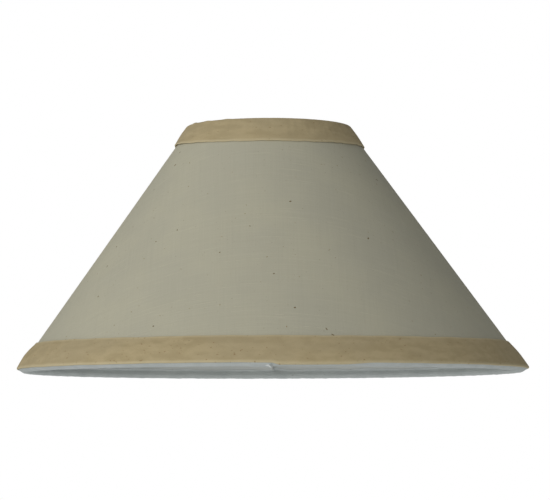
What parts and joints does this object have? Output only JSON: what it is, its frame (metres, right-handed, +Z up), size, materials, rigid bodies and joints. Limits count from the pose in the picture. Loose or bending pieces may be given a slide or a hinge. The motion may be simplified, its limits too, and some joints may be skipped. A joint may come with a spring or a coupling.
{
  "type": "lamp shade",
  "caption": "Hardback cone lamp shade in natural muslin over a stiff liner, with tan tape trims, taped wire rings and a recessed spider fitter.",
  "frame": {"origin": "centre of the bottom rim, on the surface that the shade stands on", "axes": "+Z up the shade's axis, from the wide bottom to the narrow top; the lap seam is at +Y and the front is -Y"},
  "size_m": [0.3047, 0.3064, 0.1488],
  "materials": {
    "muslin": "matte plain weave, natural",
    "styrene": "smooth satin white",
    "adhesive_tape": "clear film",
    "tan_tape": "matte folded cotton tape",
    "white_tape": "matte thin cotton tape",
    "ring_wire": "drawn wire, zinc plated",
    "fitter_wire": "drawn wire, zinc plated",
    "fitter_washer": "stamped, zinc plated"
  },
  "bodies": {
    "root": {"fabric_cover": "muslin", "styrene_liner": "styrene", "seam_tape": "adhesive_tape", "bottom_trim": "tan_tape", "top_trim": "tan_tape", "bottom_binding": "white_tape", "top_binding": "white_tape", "bottom_ring": "ring_wire", "top_ring": "ring_wire", "spider_arm_1": "fitter_wire", "spider_arm_2": "fitter_wire", "spider_arm_3": "fitter_wire", "spider_washer": "fitter_washer"}
  },
  "joints": []
}
